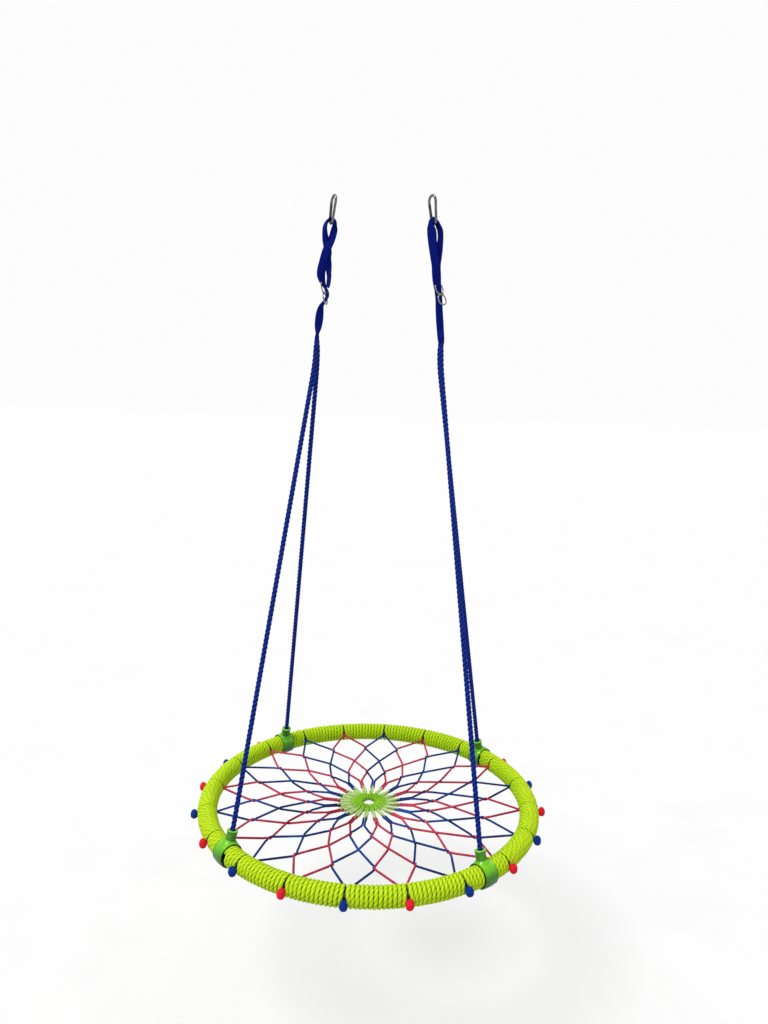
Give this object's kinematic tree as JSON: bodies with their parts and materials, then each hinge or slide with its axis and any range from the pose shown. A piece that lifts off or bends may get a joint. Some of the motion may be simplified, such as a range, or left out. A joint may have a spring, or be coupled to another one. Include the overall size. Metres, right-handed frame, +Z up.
{
  "type": "saucer nest swing",
  "caption": "Round rope-wound nest swing seat with a knotted net and hub, hung on two rope and strap suspensions that end in snap hooks.",
  "frame": {"origin": "on the vertical through the middle of the ring, level with the lowest point of the four connector collars", "axes": "+Z up, +X to the right as seen from the front, +Y to the back; the seat swings towards +Y and -Y"},
  "size_m": [1.038, 1.038, 1.7566],
  "materials": {
    "hoop_steel": "galvanised",
    "wrap_rope": "laid rope, slight sheen",
    "connector_plastic": "gloss moulded",
    "red_cord": "laid cord",
    "blue_cord": "laid cord",
    "green_cord": "laid cord",
    "blue_rope": "laid rope, slight sheen",
    "blue_webbing": "woven",
    "slider_wire": "bright zinc",
    "carabiner_steel": "zinc plated",
    "pin_steel": "plain"
  },
  "bodies": {
    "hooks": {"carabiner_left": "carabiner_steel", "carabiner_right": "carabiner_steel", "gate_pin_left": "pin_steel", "gate_pin_right": "pin_steel"},
    "left_gate": {"gate_left": "carabiner_steel"},
    "right_gate": {"gate_right": "carabiner_steel"},
    "straps": {"strap_left": "blue_webbing", "strap_right": "blue_webbing"},
    "left_slider": {"slider_left": "slider_wire"},
    "right_slider": {"slider_right": "slider_wire"},
    "seat": {"hoop_tube": "hoop_steel", "rope_wrap_front": "wrap_rope", "rope_wrap_right": "wrap_rope", "rope_wrap_back": "wrap_rope", "rope_wrap_left": "wrap_rope", "connector_front_left": "connector_plastic", "connector_front_right": "connector_plastic", "connector_back_left": "connector_plastic", "connector_back_right": "connector_plastic", "net_cords_red": "red_cord", "net_cords_blue": "blue_cord", "hub_loops": "green_cord", "hub_ring": "green_cord", "hanging_rope_left": "blue_rope", "hanging_rope_right": "blue_rope"}
  },
  "joints": [
    {"name": "left_gate_hinge", "type": "hinge", "parent": "hooks", "child": "left_gate", "pos_m": [-0.14284, 0.00971, 1.69337], "axis": [0.8603, 0.5, -0.0995], "range_deg": [0, 24], "stiffness_Nm_per_rad": 0.3, "springref_deg": -9.74},
    {"name": "right_gate_hinge", "type": "hinge", "parent": "hooks", "child": "right_gate", "pos_m": [0.13105, 0.00929, 1.69201], "axis": [0.8235, 0.5592, 0.0953], "range_deg": [0, 24], "stiffness_Nm_per_rad": 0.3, "springref_deg": -9.74},
    {"name": "strap_swing", "type": "hinge", "parent": "hooks", "child": "straps", "pos_m": [0, 0, 1.68052], "axis": [1, 0, 0], "range_deg": [-10, 10]},
    {"name": "seat_swing", "type": "hinge", "parent": "straps", "child": "seat", "pos_m": [0, 0, 1.384], "axis": [1, 0, 0], "range_deg": [-30, 30]},
    {"name": "left_slider_slide", "type": "slide", "parent": "straps", "child": "left_slider", "axis": [0.1149, 0, 0.9934], "range_m": [-0.04, 0.003]},
    {"name": "right_slider_slide", "type": "slide", "parent": "straps", "child": "right_slider", "axis": [-0.1149, 0, 0.9934], "range_m": [-0.04, 0.003]}
  ]
}
